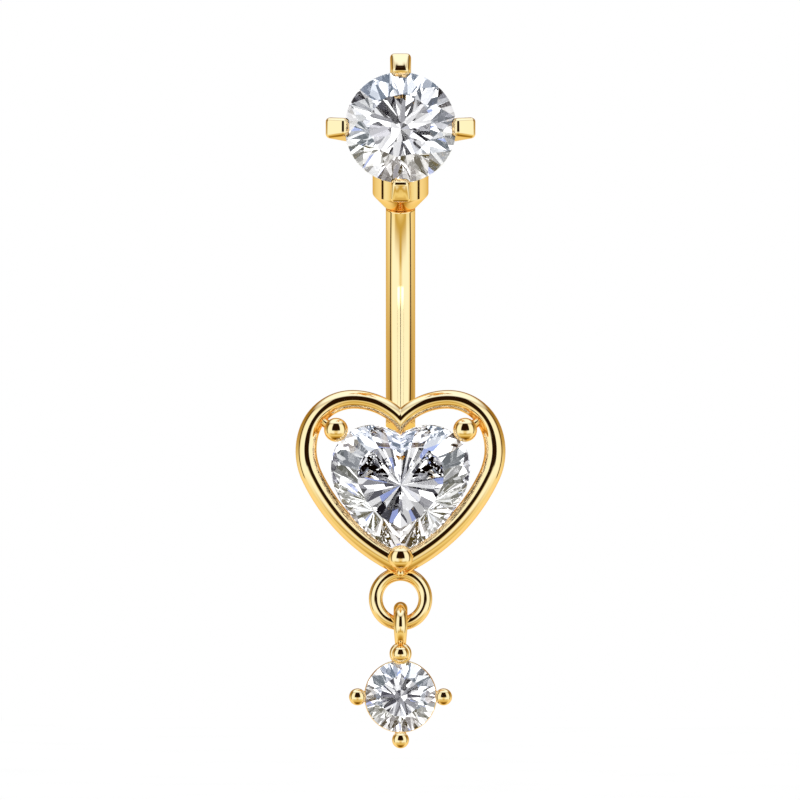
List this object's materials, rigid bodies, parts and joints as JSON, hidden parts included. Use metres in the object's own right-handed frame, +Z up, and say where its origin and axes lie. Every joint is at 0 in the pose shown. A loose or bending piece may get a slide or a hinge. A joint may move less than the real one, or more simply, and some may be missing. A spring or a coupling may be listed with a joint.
{
  "type": "navel ring",
  "caption": "Curved bar navel ring with a soldered heart setting, a claw-set round stone that screws on at the top and a round drop hanging from a fixed ring.",
  "frame": {"origin": "middle of the curved bar's centreline, where it passes through the piercing", "axes": "+Z up along the bar at its middle, towards the top stone; the stones face -Y; +X to the right seen from the front"},
  "size_m": [0.0114, 0.0084, 0.0377],
  "materials": {
    "gold": "polished gold plating over surgical steel",
    "clear_stone": "clear faceted cubic zirconia"
  },
  "bodies": {
    "barbell": {"heart_barbell": "gold", "heart_stone": "clear_stone"},
    "top": {"top_setting": "gold", "top_stone": "clear_stone"},
    "drop": {"drop_setting": "gold", "drop_stone": "clear_stone"}
  },
  "joints": [
    {"name": "drop_swing", "type": "hinge", "parent": "barbell", "child": "drop", "pos_m": [0, -0.00184, -0.01669], "axis": [1, 0, 0], "range_deg": [-90, 90]},
    {"name": "top_unscrew", "type": "slide", "parent": "barbell", "child": "top", "axis": [0, -0.3272, 0.945], "range_m": [0, 0.0045]}
  ]
}
